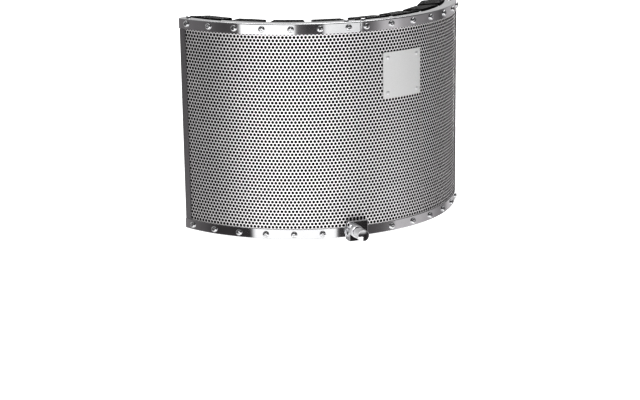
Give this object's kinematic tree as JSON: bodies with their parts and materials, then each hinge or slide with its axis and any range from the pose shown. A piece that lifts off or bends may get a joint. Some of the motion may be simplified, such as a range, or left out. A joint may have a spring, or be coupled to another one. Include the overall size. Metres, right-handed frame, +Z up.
{
  "type": "microphone isolation shield",
  "caption": "Curved perforated metal shield with chrome rims and foam ridges that stands behind a microphone, on a sliding rail with a screw clamp for a stand tube.",
  "frame": {"origin": "on the stand tube's axis, halfway up the clamp's jaws", "axes": "+Z up along the stand tube, -Y out of the screen's convex side, +X to the right seen from outside"},
  "size_m": [0.4064, 0.2621, 0.3221],
  "materials": {
    "perforated_sheet": "satin",
    "felt": "matt black felt",
    "wool": "matt fibre",
    "backing": "plain",
    "foam": "open-cell foam, charcoal",
    "chrome": "polished",
    "post": "satin dark grey",
    "badge": "satin",
    "rivet": "dark",
    "black_metal": "satin black",
    "zinc": "zinc plated",
    "pad": "matt",
    "knob": "fine grain"
  },
  "bodies": {
    "stand_clamp": {"clamp_frame": "black_metal", "seat_pad": "pad", "lock_bolt": "zinc"},
    "shield": {"outer_sheet": "perforated_sheet", "felt_layer": "felt", "absorber_core": "wool", "backing_sheet": "backing", "foam_ridge_1": "foam", "foam_ridge_2": "foam", "foam_ridge_3": "foam", "foam_ridge_4": "foam", "foam_ridge_5": "foam", "foam_ridge_6": "foam", "foam_ridge_7": "foam", "foam_ridge_8": "foam", "top_rim_left": "chrome", "top_rim_right": "chrome", "bottom_rim_left": "chrome", "bottom_rim_right": "chrome", "top_splice": "zinc", "bottom_splice": "zinc", "end_post_left": "post", "end_post_right": "post", "band_screws": "chrome", "band_nuts": "zinc", "flange_screws": "chrome", "badge_plate": "badge", "badge_rivets": "rivet", "bracket_block": "chrome", "side_screw": "chrome", "rail": "black_metal"},
    "lock_washer": {"lock_washer": "zinc"},
    "lock_knob": {"lock_knob": "knob"},
    "jaw": {"clamp_jaw": "black_metal", "jaw_pad": "pad"},
    "clamp_screw": {"clamp_screw": "zinc", "clamp_knob": "knob"},
    "thumb_collar": {"thumb_collar": "chrome"},
    "thumbscrew": {"thumbscrew": "chrome"}
  },
  "joints": [
    {"name": "reach_slide", "type": "slide", "parent": "stand_clamp", "child": "shield", "axis": [0, 1, 0], "range_m": [-0.03, 0.012]},
    {"name": "lock_washer_slide", "type": "slide", "parent": "stand_clamp", "child": "lock_washer", "axis": [0, 0, 1], "range_m": [0, 0.0025]},
    {"name": "lock_knob_turn", "type": "hinge", "parent": "lock_washer", "child": "lock_knob", "pos_m": [0, -0.0749, 0.022], "axis": [0, 0, 1], "range_deg": [0, 721]},
    {"name": "jaw_slide", "type": "slide", "parent": "stand_clamp", "child": "jaw", "axis": [0, 1, 0], "range_m": [0, 0.014]},
    {"name": "clamp_screw_turn", "type": "hinge", "parent": "jaw", "child": "clamp_screw", "pos_m": [0, 0.044, 0], "axis": [0, 1, 0], "range_deg": [0, 1681]},
    {"name": "collar_slide", "type": "slide", "parent": "shield", "child": "thumb_collar", "axis": [0, -1, 0], "range_m": [0, 0.003]},
    {"name": "thumbscrew_turn", "type": "hinge", "parent": "thumb_collar", "child": "thumbscrew", "pos_m": [0, -0.15, 0.0235], "axis": [0, -1, 0], "range_deg": [0, 1081]}
  ],
  "couplings": [
    {"joint": "lock_knob_turn", "follows": "lock_washer_slide", "rad_per_m": 5026.5},
    {"joint": "clamp_screw_turn", "follows": "jaw_slide", "rad_per_m": 2094.4},
    {"joint": "thumbscrew_turn", "follows": "collar_slide", "rad_per_m": 6283.2}
  ]
}
